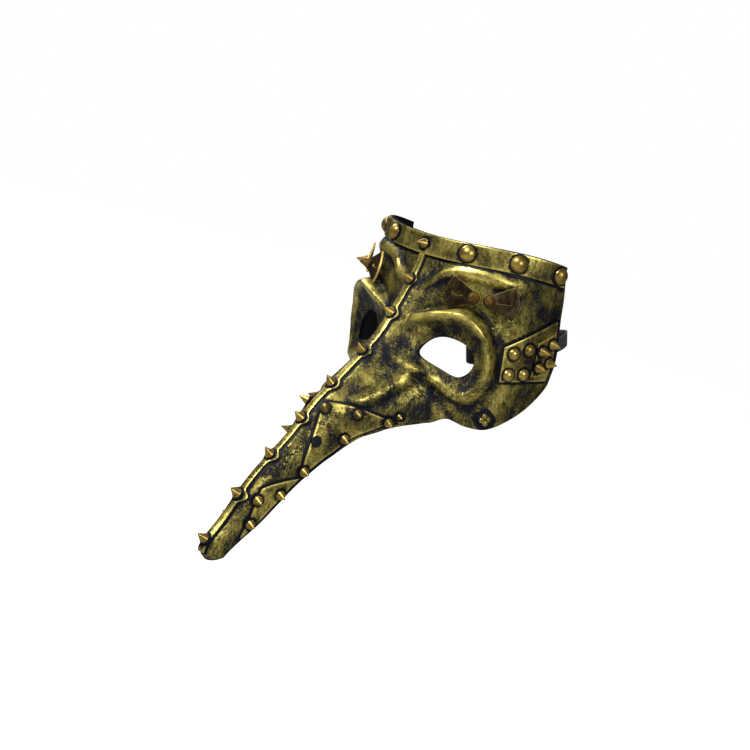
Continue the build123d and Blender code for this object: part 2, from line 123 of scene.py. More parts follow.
def above_skin(angle, height, offset):
    angle = np.asarray(angle, float)
    height = np.asarray(height, float)
    return skin(angle, height) + outward(angle, height) * np.asarray(offset, float)[..., None]


def band_middle(angle):
    return BAND_HEIGHT + 5.5 * np.sin(np.radians(1.3 * np.asarray(angle, float))) ** 2


def on_row(side, row):
    """Angle and height at a share of the way from the mid-line to the open edge."""
    angle = np.minimum(smooth(EDGE_ANGLE, row), 90) * side
    lift = np.maximum((row - 40) / (TOP_EDGE - 40), 0)
    swing = (np.sin(np.radians(1.3 * angle)) / math.sin(math.radians(117))) ** 2
    bow = side ** 2 * (1 - lift) + swing * lift * 0.86
    return angle, row + (smooth(EDGE_HEIGHT, row) - row) * bow


print("nose tip", skin(0, -160).round(1), "temple", skin(90, 20).round(1))

# %% [markdown]
# ## The moulded relief
# The face is not a plain curve: a strong ring stands round each eye, the brow bulges
# under the band, and a shelf behind it carries the gears. Each is a rounded bump across
# a line, so the heights can be set one by one, as a sculptor adds clay along a line.

# %% Relief heights
ARC = 1.36
EYE_MIDDLE = (44.0, 2.0)
RING_REACH = [(180, 36), (156, 34.2), (147, 33.8), (130, 30.6), (109, 29.7), (90, 30.5), (77, 30.1),
              (60, 29), (44, 28.3), (25, 28), (0, 29), (-21, 31.7), (-37, 32.8), (-55, 33),
              (-68, 28.6), (-90, 22.9), (-116, 22.3), (-132, 23.9), (-180, 36)]
RING_HEIGHT = [(180, 0.3), (156, 1), (147, 5), (130, 10), (109, 13), (90, 14), (60, 14), (44, 13),
               (25, 11.5), (0, 10), (-21, 7.5), (-37, 5.5), (-55, 4.5), (-90, 3.5), (-132, 2.5),
               (-160, 0.8), (-180, 0.3)]
RING_INSIDE = [(180, 12), (135, 17), (109, 19), (90, 19), (60, 15), (45, 12.5), (25, 10), (0, 9.5),
               (-21, 10), (-37, 12), (-68, 13), (-90, 10.5), (-132, 9), (-180, 12)]
RING_OUTSIDE = [(180, 5), (147, 5), (130, 5), (105, 5), (92, 6.5), (78, 9), (60, 9), (30, 9.5),
                (0, 9.5), (-37, 9), (-90, 7), (-180, 5)]
BROW_LINE = [(90, 60), (50.5, 63), (41.6, 63.5), (32.9, 63), (24.4, 61), (16.7, 56), (13.1, 50.5),
             (7.2, 46), (0, 44)]
CREASE = ([(30.2, -21), (39.1, -28.7), (49.1, -36.3), (56.8, -43.1)], -1.4, 6.0)
WING = ([(18.2, -45.7), (21.5, -37.4), (24.7, -26.6), (26.3, -17)], 2.4, 6.5)
print("ring", len(RING_REACH), "bearings, brow", len(BROW_LINE), "points")


# %% Relief
def bump(share):
    """A rounded rise, 1 in the middle and 0 from a share of 1 outwards."""
    return np.maximum(1 - share ** 2, 0) ** 2


def fold(line, arc, height, rise, half_width):
    gaps = []
    for start, end in zip(line, line[1:]):
        run = (end[0] - start[0], end[1] - start[1])
        way = (arc - start[0], height - start[1])
        share = np.clip((way[0] * run[0] + way[1] * run[1]) / (run[0] ** 2 + run[1] ** 2), 0, 1)
        gaps.append(np.hypot(way[0] - run[0] * share, way[1] - run[1] * share))
    return rise * bump(np.min(gaps, axis=0) / half_width)


def relief(angle, height):
    """Height of the moulded face above the bare skin, in millimetres."""
    arc = ARC * np.abs(angle)
    across, up = arc - EYE_MIDDLE[0], height - EYE_MIDDLE[1]
    bearing = np.degrees(np.arctan2(up, across))
    beyond = np.hypot(across, up) - smooth(RING_REACH, bearing)
    width = np.where(beyond > 0, smooth(RING_OUTSIDE, bearing), smooth(RING_INSIDE, bearing))
    slope = np.minimum(np.sqrt((beyond / width) ** 2 + 0.01) - 0.1, 1)
    profile = np.where(beyond > 0, bump(beyond / width), (1 - slope) ** 1.9)
    ring = smooth(RING_HEIGHT, bearing) * profile
    above = height - smooth(BROW_LINE, np.abs(angle))
    fade = np.clip((np.abs(angle) - 6) / 9, 0, 1) * np.clip((70 - np.abs(angle)) / 14, 0, 1)
    brow = 3.6 * bump(above / np.where(above > 0, 9.5, 8.5))
    shelf = np.where(above < 0, 1.2 * bump(np.maximum(-above - 15, 0) / 15), 0)
    raised = np.maximum(ring, np.maximum(brow, shelf) * fade)
    return raised + fold(CREASE[0], arc, height, *CREASE[1:]) + fold(WING[0], arc, height, *WING[1:])


print("eye ring", float(relief(40.0, 30.0)), "mm proud")

# %% [markdown]
# ## Sheets on the skin
# A real trim sheet is cut flat, bent to the face and glued. Here it starts as a grid
# whose points are moved on to the skin; Solidify gives it its wall and Bevel softens its
# edges, as handling would. The same helper makes the shell and every band and plate.


# %% Sheet helper
def only(piece):
    bpy.ops.object.select_all(action="DESELECT")
    piece.select_set(True)
    bpy.context.view_layer.objects.active = piece


def apply_modifiers(piece):
    only(piece)
    for modifier in list(piece.modifiers):
        bpy.ops.object.modifier_apply(modifier=modifier.name)


def coordinates(piece):
    points = np.empty(len(piece.data.vertices) * 3)
    piece.data.vertices.foreach_get("co", points)
    return points.reshape(-1, 3)


def write_mask(piece, name, values):
    mask = piece.data.attributes.get(name) or piece.data.attributes.new(name, "FLOAT", "POINT")
    mask.data.foreach_set("value", np.asarray(values, np.float32))


def skin_grid(name, where, offset, columns, rows, raised=None):
    """A grid laid on the skin, with where(u, v) giving its places."""
    bpy.ops.object.select_all(action="DESELECT")
    bpy.ops.mesh.primitive_grid_add(x_subdivisions=columns, y_subdivisions=rows, size=2)
    piece = bpy.context.object
    piece.name = name
    piece.data.name = name
    flat = coordinates(piece)
    u, v = flat[:, 0], (1 - flat[:, 1]) / 2
    angle, height = where(u, v)
    lift = offset + (raised(angle, height) if raised else 0 * angle)
    piece.data.vertices.foreach_set("co", (above_skin(angle, height, lift) * MM).ravel())
    piece.data.update()
    return piece, u, v


def thicken(piece, wall, bevel=0.0, segments=2):
    solid = piece.modifiers.new("wall", "SOLIDIFY")
    solid.thickness = wall * MM
    solid.offset = -1
    if bevel:
        soft = piece.modifiers.new("edge", "BEVEL")
        soft.width = bevel * MM
        soft.segments = segments
        soft.limit_method = "ANGLE"
        soft.angle_limit = math.radians(50)
    apply_modifiers(piece)


def smooth_shade(piece, degrees=40):
    only(piece)
    bpy.ops.object.shade_smooth_by_angle(angle=math.radians(degrees))


def report(piece):
    size = coordinates(piece)
    print(piece.name, len(piece.data.polygons), "faces", (np.ptp(size, axis=0) / MM).round(1), "mm")


print("sheet helpers ready")

# %% [markdown]
# ## Face shell
# The casting is one thin wall from the forehead to the nose tip. Modelling it as a single
# grid keeps its rows running along the nose, so the wall is even and the paint has no
# seams. The eye holes are cut last with two prisms, as a moulder would trim them.

# %% Eye cutters
EYE_HOLE = [(23.4, -3), (27.5, 7.5), (41.7, 13.5), (56.5, 9.2), (60.2, -2), (54.5, -11.8), (40, -10.4)]


def whole_mask(u, v):
    return on_row(0.62 * u + 0.38 * u ** 3, TOP_EDGE + (TIP_EDGE - TOP_EDGE) * v)


def closed_curve(points, steps):
    """Points on the smooth closed curve through a loop of places."""
    loop = np.array(points, float)
    count = len(loop)
    spans = np.linalg.norm(np.roll(loop, -1, axis=0) - loop, axis=1)
    rows, sides = np.zeros((count, count)), np.zeros((count, 2))
    for i in range(count):
        before, after = spans[i - 1], spans[i]
        rows[i, i - 1] = 1 / before
        rows[i, i] = 2 / before + 2 / after
        rows[i, (i + 1) % count] = 1 / after
        ahead = loop[(i + 1) % count] - loop[i]
        sides[i] = 3 * ((loop[i] - loop[i - 1]) / before ** 2 + ahead / after ** 2)
    slopes = np.linalg.solve(rows, sides)
    found = []
    for i in range(count):
        k, span = (i + 1) % count, spans[i]
        for t in np.arange(steps) / steps:
            found.append(loop[i] * (1 + 2 * t) * (1 - t) ** 2 + slopes[i] * span * t * (1 - t) ** 2
                         + loop[k] * t * t * (3 - 2 * t) - slopes[k] * span * t * t * (1 - t))
    return np.array(found)


def eye_cutter(side):
    """A prism through one eye hole."""
    outline = closed_curve(EYE_HOLE, 10)
    bpy.ops.object.select_all(action="DESELECT")
    bpy.ops.mesh.primitive_circle_add(vertices=len(outline), radius=1, fill_type="NGON")
    cutter = bpy.context.object
    for vertex, (x, z) in zip(cutter.data.vertices, outline):
        vertex.co = (side * x * MM, -30 * MM, z * MM)
    bpy.ops.object.mode_set(mode="EDIT")
    bpy.ops.mesh.select_all(action="SELECT")
    bpy.ops.mesh.extrude_region_move(TRANSFORM_OT_translate={"value": (0, 0.11, 0)})
    bpy.ops.mesh.select_all(action="SELECT")
    bpy.ops.mesh.normals_make_consistent(inside=False)
    bpy.ops.object.mode_set(mode="OBJECT")
    return cutter


print("eye outline", len(closed_curve(EYE_HOLE, 10)), "points")

# %% Shell
shell, shell_u, shell_v = skin_grid("shell", whole_mask, 0, 170, 210, relief)
shell_points = coordinates(shell).copy()
shell_normals = np.array([tuple(vertex.normal) for vertex in shell.data.vertices])
if shell_normals[len(shell_normals) // 2][1] > 0:
    shell.data.flip_normals()
thicken(shell, SHELL_WALL)
for side in (1, -1):
    cutter = eye_cutter(side)
    cut = shell.modifiers.new("eye", "BOOLEAN")
    cut.operation = "DIFFERENCE"
    cut.solver = "EXACT"
    cut.object = cutter
    apply_modifiers(shell)
    bpy.data.objects.remove(cutter)
smooth_shade(shell, 50)
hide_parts("face_shell", "eye_ring_left", "eye_ring_right")
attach(shell, "mask")
report(shell)

# %% [markdown]
# ## Bands and plates
# The strips and plates are thin sheets glued on the shell. Their edges catch the gold
# brush and carry a painted highlight, so each gets a mask that tells how near a point is
# to the sheet's own edge.

# %% Trim measures
TRIM_GLUE = 0.1
PLATE_WALL = 1.4
TEMPLE_WALL = 1.6
RIDGE_WALL = 1.8
BAND_WALL = 2.0
RIDGE_TOP = 66.5
RIDGE_END = -169.0
RIDGE_CONES = [18, -14, -41.5, -69, -98, -128]
BROW_CONE = 45.5
TIP_CONE = -161
UPPER_PLATE = [(0.23, -53.5), (0.95, -38), (0.92, -95.5), (0.95, -96.5)]
LOWER_PLATE = [(0.61, -116), (0.95, -99.5), (0.93, -145), (0.95, -146.5)]
TEMPLE_PLATE = [(60.8, 18), (87.5, 46), (63.3, -7.5), (87.5, 0.5)]
TEMPLE_BADGE = [(77.8, 27), (86.7, 37.5), (78.6, 0.6), (86.7, 6)]


def band_place(u, v):
    angle = 88.0 * u
    return angle, band_middle(angle) + BAND_WIDTH * (0.5 - v)


def ridge_place(u, v):
    row = RIDGE_TOP + (RIDGE_END - RIDGE_TOP) * v
    half = 2.4 + sum(2.8 * bump((row - cone) / 5.5) for cone in [BROW_CONE] + RIDGE_CONES)
    return np.degrees(np.arcsin(half * u / HALF_WIDTH)), row


def patch(corners, on_nose, turn):
    """Places inside four corners, mirrored where turn is -1."""
    def where(u, v):
        side = (u * turn + 1) / 2
        pair = []
        for k in (0, 1):
            top = corners[0][k] * (1 - side) + corners[1][k] * side
            bottom = corners[2][k] * (1 - side) + corners[3][k] * side
            pair.append(top * (1 - v) + bottom * v)
        pair[0] = pair[0] * turn
        return on_row(*pair) if on_nose else tuple(pair)
    return where
print("band", BAND_WIDTH, "mm wide, plates", PLATE_WALL, "mm thick")


# %% Trim helper
def trim(name, node, where, high, low, columns, rows, raised=None, bevel=0.35):
    piece, u, v = skin_grid(name, where, high, columns, rows, raised)
    first = piece.data.polygons[len(piece.data.polygons) // 2]
    middle = Vector(tuple(piece.data.vertices[first.vertices[0]].co))
    if first.normal.dot(Vector((middle.x, middle.y - 0.04, 0))) < 0:
        piece.data.flip_normals()
    border = [(e.vertices[0], e.vertices[1]) for e in piece.data.edges]
    rim = (np.abs(u) > 0.999) | (v < 0.001) | (v > 0.999)
    points = coordinates(piece)
    edges = KDTree(int(rim.sum()) * 4)
    count = 0
    for a, b in border:
        if rim[a] and rim[b]:
            for share in (0, 0.25, 0.5, 0.75):
                if count < int(rim.sum()) * 4:
                    edges.insert(points[a] * (1 - share) + points[b] * share, count)
                    count += 1
    edges.balance()
    thicken(piece, high - low, bevel)
    gaps = [edges.find(point)[2] / MM for point in coordinates(piece)]
    # The edge mask adds gold along each sheet's edge: dry-brush gold with a painted highlight.
    write_mask(piece, "edge", np.clip(1 - (np.array(gaps) - 0.3) / 1.6, 0, 1))
    smooth_shade(piece)
    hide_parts(node)
    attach(piece, "mask")
    report(piece)
    return piece


print("trim helper ready")

# %% Bands and plates
trims = []
band = trim("brow_band", "forehead_band", band_place, BAND_WALL, TRIM_GLUE, 120, 10)
ridge = trim("nose_ridge", "ridge_strip", ridge_place, RIDGE_WALL, TRIM_GLUE, 12, 260)
trims += [band, ridge]
for side, turn in (("left", 1), ("right", -1)):
    trims.append(trim(f"upper_plate_{side}", f"nose_plate_upper_{side}", patch(UPPER_PLATE, True, turn),
                      PLATE_WALL, TRIM_GLUE, 40, 40))
    trims.append(trim(f"lower_plate_{side}", f"nose_plate_lower_{side}", patch(LOWER_PLATE, True, turn),
                      PLATE_WALL, TRIM_GLUE, 30, 30))
    trims.append(trim(f"side_plate_{side}", f"temple_plate_{side}", patch(TEMPLE_PLATE, False, turn),
                      TEMPLE_WALL, TRIM_GLUE, 36, 36))
    trims.append(trim(f"side_badge_{side}", f"temple_badge_{side}", patch(TEMPLE_BADGE, False, turn),
                      2 * TEMPLE_WALL, TEMPLE_WALL + TRIM_GLUE, 16, 24))

# %% [markdown]
# ## Cone studs and domes
# Each stud is a turned part, so one is modelled from a circle that is extruded and
# scaled ring by ring, then beveled. The rest are copies that each have their own mesh,
# moved to a seat on the skin. A height mask darkens the foot as painted shade where the
# stud meets the surface.

# %% Stud masters
CONE_SEAT = 0.7


def turned(name, rings, sides, bevel):
    """A turned part: rings is a list of (radius, height) in millimetres, from foot to tip."""
    bpy.ops.object.select_all(action="DESELECT")
    bpy.ops.mesh.primitive_circle_add(vertices=sides, radius=rings[0][0] * MM, fill_type="NGON",
                                      location=(0, 0, rings[0][1] * MM))
    piece = bpy.context.object
    piece.name = name
    bpy.ops.object.transform_apply(location=True)
    bpy.ops.object.mode_set(mode="EDIT")
    bpy.ops.mesh.select_all(action="SELECT")
    for (radius, height), (wider, higher) in zip(rings, rings[1:]):
        bpy.ops.mesh.extrude_region_move(TRANSFORM_OT_translate={"value": (0, 0, (higher - height) * MM)})
        factor = wider / radius
        bpy.ops.transform.resize(value=(factor, factor, 1), center_override=(0, 0, higher * MM))
    bpy.ops.mesh.select_all(action="SELECT")
    bpy.ops.mesh.normals_make_consistent(inside=False)
    bpy.ops.object.mode_set(mode="OBJECT")
    if bevel:
        soft = piece.modifiers.new("edge", "BEVEL")
        soft.width = bevel * MM
        soft.segments = 2
        soft.limit_method = "ANGLE"
        soft.angle_limit = math.radians(35)
        apply_modifiers(piece)
    points = coordinates(piece) / MM
    top = rings[-1][1]
    write_mask(piece, "rise", np.clip(points[:, 2] / top, 0, 1))
    smooth_shade(piece, 35)
    return piece


def dome_rings(radius, height):
    cap = height - 0.5
    bend = (radius ** 2 + cap ** 2) / (2 * cap)
    rings = [(radius, -CONE_SEAT), (radius, 0.5)]
    reach = math.asin(min(radius / bend, 1))
    for share in (0.85, 0.7, 0.55, 0.4, 0.25, 0.12, 0.03):
        turn = reach * share
        rings.append((bend * math.sin(turn), 0.5 + cap - bend * (1 - math.cos(turn))))
    return rings


print("dome", len(dome_rings(6.4, 4.6)), "rings")

# %% Turn the studs
cone = turned("cone_master", [(4, -CONE_SEAT), (4, 0.75), (3.7, 1.0), (3.55, 1.05), (0.28, 8.6)], 28, 0.12)
small_cone = turned("corner_master", [(2.2, -0.4), (2.2, 0.5), (1.95, 0.6), (0.2, 4.7)], 20, 0.08)
band_dome = turned("band_dome_master", dome_rings(6.4, 4.6), 32, 0)
temple_dome = turned("temple_dome_master", dome_rings(4.6, 3.4), 28, 0)
print("cone", len(cone.data.polygons), "faces")


# %% [markdown]
# ## Seats for the studs
# A stud sits square to the skin. Its seat is a small frame of three directions there, so
# one rule places all of them, and the nose studs only add a slight lean to the tip.

# %% Seat the studs
def seat(angle, height, offset, lean=0, scale=1):
    normal = outward(angle, height)
    down = skin(angle, height - 0.05) - skin(angle, height + 0.05)
    down = down / np.linalg.norm(down)
    normal = Vector(tuple(normal * math.cos(math.radians(lean)) + down * math.sin(math.radians(lean))))
    normal.normalize()
    along = Vector((0, 0, 1)).cross(normal).normalized()
    up = normal.cross(along)
    turn = Matrix((along, up, normal)).transposed().to_4x4()
    place = Vector(tuple(above_skin(angle, height, offset) * MM))
    return Matrix.Translation(place) @ turn @ Matrix.Scale(scale, 4)


def studs(name, master, seats, node, body="mask"):
    """Copies of a stud, each with its own mesh, joined as one piece that stands for a CAD node."""
    copies = []
    for place in seats:
        copy = master.copy()
        copy.data = master.data.copy()
        copy.data.transform(place)
        bpy.context.collection.objects.link(copy)
        copies.append(copy)
    only(copies[0])
    for copy in copies:
        copy.select_set(True)
    if len(copies) > 1:
        bpy.ops.object.join()
    piece = bpy.context.object
    piece.name = name
    piece.data.name = name
    if node:
        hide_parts(node)
    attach(piece, body)
    report(piece)
    return piece


print("stud helpers ready")

# %% Set the studs
NOSE_SCALE = 0.93
NOSE_LEAN = 9.0
UPPER_CONES = [(0.335, -56.1), (0.72, -47), (0.93, -40), (0.905, -66), (0.92, -94.5)]
LOWER_CONES = [(0.92, -112.8), (0.69, -123), (0.88, -137)]
MISSING_CONE = (0.69, -76.4)
CORNER_STUD = (23.6, -51.5)
BAND_DOMES = [27, 55.7, 83.5]
TEMPLE_DOMES = [(66.6, 15.0), (74.2, 20.5), (67.0, -1.0), (74.8, 2.0)]
TEMPLE_CONES = [(80.2, 21.8), (85.0, 28.5), (85.0, 14.5), (80.4, 9.4)]
FLOWER = (61.9, -37.0)

ridge_seats = [seat(0.0, z, RIDGE_WALL) for z in [BROW_CONE, TIP_CONE] + RIDGE_CONES]
ridge_seats.append(seat(0.0, BAND_HEIGHT, BAND_WALL))
all_studs = [studs("nose_ridge_cones", cone, ridge_seats, "ridge_cones")]
dome_seats = [seat(side * a, float(band_middle(a)), BAND_WALL) for a in BAND_DOMES for side in (1, -1)]
all_studs.append(studs("brow_domes", band_dome, dome_seats, "band_domes"))
for side, turn in (("left", 1), ("right", -1)):
    places = UPPER_CONES + LOWER_CONES + ([MISSING_CONE] if side == "right" else [])
    seats = [seat(*on_row(turn * s, r), PLATE_WALL, NOSE_LEAN, NOSE_SCALE) for s, r in places]
    all_studs.append(studs(f"nose_cones_set_{side}", cone, seats, f"nose_cones_{side}"))
    seats = [seat(turn * a, h, TEMPLE_WALL) for a, h in TEMPLE_DOMES]
    all_studs.append(studs(f"side_domes_{side}", temple_dome, seats, f"temple_domes_{side}"))
    seats = [seat(turn * a, h, 2 * TEMPLE_WALL) for a, h in TEMPLE_CONES]
    all_studs.append(studs(f"side_cones_{side}", cone, seats, f"temple_cones_{side}"))
    seats = [seat(turn * CORNER_STUD[0], CORNER_STUD[1], 0)]
    all_studs.append(studs(f"corner_cone_{side}", small_cone, seats, f"corner_stud_{side}"))


# %% [markdown]
# ## Flower base, gears and rivets
# These pieces already have their true shape in the CAD model, but their edges are knife
# sharp. A copy is merged and given a narrow bevel, so that light runs along each edge
# and tooth as it does on a stamped part that has been handled. The bevel's faces, and
# the whole rim of a gear, are marked in an edge mask for the paint.

# %% Softened copies
def softened(name, node, bevel, body, bright_rim=False):
    piece = nodes[node].copy()
    piece.data = nodes[node].data.copy()
    for key in [key for key in piece.keys() if key.startswith("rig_")]:
        del piece[key]
    piece.parent = None
    piece.name = name
    piece.data.name = name
    piece.hide_render = False
    bpy.context.collection.objects.link(piece)
    only(piece)
    bpy.ops.object.mode_set(mode="EDIT")
    bpy.ops.mesh.select_all(action="SELECT")
    bpy.ops.mesh.remove_doubles(threshold=0.00001)
    bpy.ops.mesh.dissolve_limited(angle_limit=math.radians(1))
    bpy.ops.object.mode_set(mode="OBJECT")
    piece.data.materials.clear()
    for part in ("body", "edge"):
        piece.data.materials.append(bpy.data.materials.new(f"{name}_{part}"))
    soft = piece.modifiers.new("edge", "BEVEL")
    soft.width = bevel * MM
    soft.segments = 2
    soft.limit_method = "ANGLE"
    soft.angle_limit = math.radians(35)
    soft.material = 1
    apply_modifiers(piece)
    # On the sectors this mask carries a painted highlight along the teeth, edges and rim.
    edge_faces = piece.data.attributes.new("edge", "FLOAT", "FACE")
    broad = max(piece.data.polygons, key=lambda face: face.area).normal.copy()
    edge_faces.data.foreach_set("value", [
        float(face.material_index == 1 or (bright_rim and abs(face.normal.dot(broad)) < 0.6))
        for face in piece.data.polygons])
    for material in list(piece.data.materials):
        bpy.data.materials.remove(material)
    for face in piece.data.polygons:
        face.material_index = 0
    smooth_shade(piece, 30)
    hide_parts(node)
    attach(piece, body)
    report(piece)
    return piece


print("edge helper ready")

# %% Gears, bases, spacers, pivots and rivets
gears, rivets, bases, spacers, pivots = [], [], [], [], []
for side in ("left", "right"):
    for name in ("inner", "outer"):
        gears.append(softened(f"sector_{name}_{side}", f"gear_{name}_{side}", 0.28, f"{name}_{side}_sector",
                              bright_rim=True))
    bases.append(softened(f"cheek_base_{side}", f"cheek_flower_{side}", 0.15, "mask"))
    spacers.append(softened(f"gear_spacers_{side}", f"pivot_spacers_{side}", 0.1, "mask"))
    pivots.append(softened(f"gear_pivots_{side}", f"pivot_studs_{side}", 0.15, "mask"))
    rivets.append(softened(f"elastic_rivet_{side}", f"strap_rivet_{side}", 0.15, "mask"))

# %% [markdown]
# ## Elastic strap
# The strap is a flat woven elastic that lies on edge in a sloping plane. A curve with a
# few control points gives its line, and a ribbon follows the points that Blender reads
# from that curve, which keeps every bend as soft as elastic.

# %% Strap
STRAP_WIDTH = 0.011
STRAP_WALL = 0.0013
STRAP_TILT = math.radians(25.2)
STRAP_ROUTE = [(76.2, 58), (77.5, 76), (78.2, 93), (73, 104), (65.5, 96), (63, 78), (60, 58), (51.5, 38),
               (42.5, 30.5), (34.5, 39), (30, 58), (17, 78), (-6, 90), (-32, 95), (-56, 93), (-72, 84),
               (-77.8, 70), (-76.0, 54)]
across_strap = Vector((0, -math.sin(STRAP_TILT), math.cos(STRAP_TILT)))
line = bpy.data.curves.new("strap_line", "CURVE")
line.dimensions = "3D"
line.resolution_u = 12
spline = line.splines.new("NURBS")
spline.points.add(len(STRAP_ROUTE) - 1)
for point, (x, y) in zip(spline.points, STRAP_ROUTE):
    point.co = (x * MM, y * MM, (0.2 + (y - 27) * math.tan(STRAP_TILT)) * MM, 1)
spline.order_u = 3
spline.use_endpoint_u = True
line_object = bpy.data.objects.new("strap_line", line)
bpy.context.collection.objects.link(line_object)
bpy.context.view_layer.update()
read = bpy.data.meshes.new_from_object(line_object)
path = [vertex.co.copy() for vertex in read.vertices]
bpy.data.objects.remove(line_object)

print("strap line", len(path), "points")

# %% Ribbon
ribbon = bmesh.new()
uv = ribbon.loops.layers.uv.new("UVMap")
STRAP_CELLS = 8
rows = []
gone = [0.0]
for i, point in enumerate(path):
    ahead = path[min(i + 1, len(path) - 1)] - path[max(i - 1, 0)]
    aside = ahead.normalized().cross(across_strap).normalized()
    row = []
    for k in range(STRAP_CELLS + 1):
        share = k / STRAP_CELLS - 0.5
        row.append(ribbon.verts.new(point + across_strap * STRAP_WIDTH * share + aside * STRAP_WALL / 2))
    for k in range(STRAP_CELLS, -1, -1):
        share = k / STRAP_CELLS - 0.5
        row.append(ribbon.verts.new(point + across_strap * STRAP_WIDTH * share - aside * STRAP_WALL / 2))
    rows.append(row)
    if i:
        gone.append(gone[-1] + (point - path[i - 1]).length)
for i in range(len(rows) - 1):
    ring = len(rows[i])
    for k in range(ring):
        after = (k + 1) % ring
        face = ribbon.faces.new((rows[i][k], rows[i][after], rows[i + 1][after], rows[i + 1][k]))
        shares = [k, after if after else ring, after if after else ring, k]
        for loop, share, length in zip(face.loops, shares, (gone[i], gone[i], gone[i + 1], gone[i + 1])):
            loop[uv].uv = (length / STRAP_WIDTH, share / STRAP_CELLS)
ribbon.faces.new(rows[0])
ribbon.faces.new(rows[-1][::-1])
bmesh.ops.recalc_face_normals(ribbon, faces=ribbon.faces[:])
strap_mesh = bpy.data.meshes.new("elastic_band")
ribbon.to_mesh(strap_mesh)
ribbon.free()
strap = bpy.data.objects.new("elastic_band", strap_mesh)
bpy.context.collection.objects.link(strap)
smooth_shade(strap, 45)
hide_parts("elastic_strap")
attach(strap, "mask")

# %% [markdown]
# ## Where gold goes and painted shade falls
# Painted shade darkens the hollows and the shell beside every glued piece, and the gold
# brush touches what stands proud, with a painted highlight along the crests. Two masks
# record that on the shell: how proud a point is of its surroundings, and how near the next
# glued piece is. Both are stored on the mesh, so they hold from every side.

# %% Masks on the shell
SHELL_COLUMNS = 170
grid = shell_points.reshape(-1, SHELL_COLUMNS + 1, 3) / MM
facing = np.cross(np.gradient(grid, axis=1), np.gradient(grid, axis=0))
facing /= np.linalg.norm(facing, axis=2, keepdims=True)
middle = facing[facing.shape[0] // 2, facing.shape[1] // 2]
facing *= -1 if middle[1] > 0 else 1


def proudness(reach):
    padded = np.pad(grid, ((reach, reach), (reach, reach), (0, 0)), mode="edge")
    rows_count, columns_count = grid.shape[:2]
    around = 0
    for down, over in ((0, 1), (0, -1), (1, 0), (-1, 0)):
        top, left = reach + down * reach, reach + over * reach
        around = around + padded[top:top + rows_count, left:left + columns_count]
    value = ((grid - around / 4) * facing).sum(axis=2)
    value[:reach], value[-reach:], value[:, :reach], value[:, -reach:] = 0, 0, 0, 0
    return value.ravel()


print("proudness over", grid.shape[0], "rows")

# %% Proud places and painted shade
shell_angle, shell_height = whole_mask(shell_u, shell_v)
# The shelf term adds a broad patch of extra gold on the brow shelf.
shelf_gap = ((ARC * np.abs(shell_angle) - 63) / 26) ** 2 + ((shell_height - 47) / 14) ** 2
crest_values = proudness(2) * 0.6 + proudness(4) * 0.4 + 0.5 * np.exp(-shelf_gap)
tree = KDTree(len(shell_points))
for i, point in enumerate(shell_points):
    tree.insert(point, i)
tree.balance()
corners, faces = [], []
for piece in trims + all_studs + bases:
    start = len(corners)
    corners += [vertex.co.copy() for vertex in piece.data.vertices]
    faces += [[start + i for i in polygon.vertices] for polygon in piece.data.polygons]
glued = BVHTree.FromPolygons(corners, faces)
proud, shade_and_bare_spot, inner = [], [], []
for vertex in shell.data.vertices:
    found = tree.find(vertex.co)
    proud.append(crest_values[found[1]])
    inner.append(min(max((found[2] / MM - 1.0) / 0.7, 0), 1))
    shade_and_bare_spot.append(glued.find_nearest(vertex.co)[3] / MM)
proud = np.array(proud)
shade_and_bare_spot = np.array(shade_and_bare_spot)
# More gold where the shell stands proud and less in its hollows: dry-brush gold with a painted highlight on
# crests and painted shade in hollows.
write_mask(shell, "proud", np.clip(proud / 0.5, -0.4, 1))
# Painted shade on the shell beside every glued piece.
write_mask(shell, "shade_and_bare_spot", np.clip(1 - (shade_and_bare_spot - 0.8) / 1.5, 0, 1))
write_mask(shell, "inner", inner)
print("proud from", proud.min().round(2), "to", proud.max().round(2), "mm")

# %% Masks beside the studs
studs_only, stud_faces = [], []
for piece in all_studs + pivots:
    start = len(studs_only)
    studs_only += [vertex.co.copy() for vertex in piece.data.vertices]
    stud_faces += [[start + i for i in polygon.vertices] for polygon in piece.data.polygons]
seated = BVHTree.FromPolygons(studs_only, stud_faces)
# Painted shade round each stud and pivot, written on the trims and the gears.
for piece in trims + gears:
    gaps = np.array([seated.find_nearest(point)[3] for point in coordinates(piece)]) / MM
    write_mask(piece, "shade_and_bare_spot", np.clip(1 - gaps / 1.5, 0, 1))

for base, turn in zip(bases, (1, -1)):
    foot = skin(turn * FLOWER[0], FLOWER[1])
    rise = (coordinates(base) / MM - foot) @ outward(turn * FLOWER[0], FLOWER[1])
    # The low middle of the flower base is darkened as painted shade.
    write_mask(base, "shade_and_bare_spot", np.clip((1.9 - rise) / 0.5, 0, 1) * 0.8)
    print(base.name, "stands", rise.max().round(1), "mm proud")

# %% [markdown]
# ## A lost stud
# One stud on the left of the nose has come off and left its unpainted print, a round
# black spot. It is only colour, so it is drawn in the mask that also holds the painted
# shade of that plate.

# %% Lost stud
plate = next(piece for piece in trims if piece.name == "upper_plate_left")
print_middle = above_skin(*on_row(*MISSING_CONE), PLATE_WALL)
gap = np.linalg.norm(coordinates(plate) / MM - print_middle, axis=1)
values = np.empty(len(gap))
plate.data.attributes["shade_and_bare_spot"].data.foreach_get("value", values)
write_mask(plate, "shade_and_bare_spot", np.maximum(values, np.clip((4.1 - gap) / 0.9, 0, 1) * 1.6))
print("lost stud at", print_middle.round(1))

# %% [markdown]
# ## Paint
# A dry brush leaves gold in streaks on the high places. Two noises stretched in crossed
# directions make those streaks, and a third one decides which of them shows. Patches and
# fine flecks break them up, and the masks push the mix towards gold or black. The effect
# is a node group with its own knobs, so that the shell, the trim and the studs wear the
# same paint by different amounts.

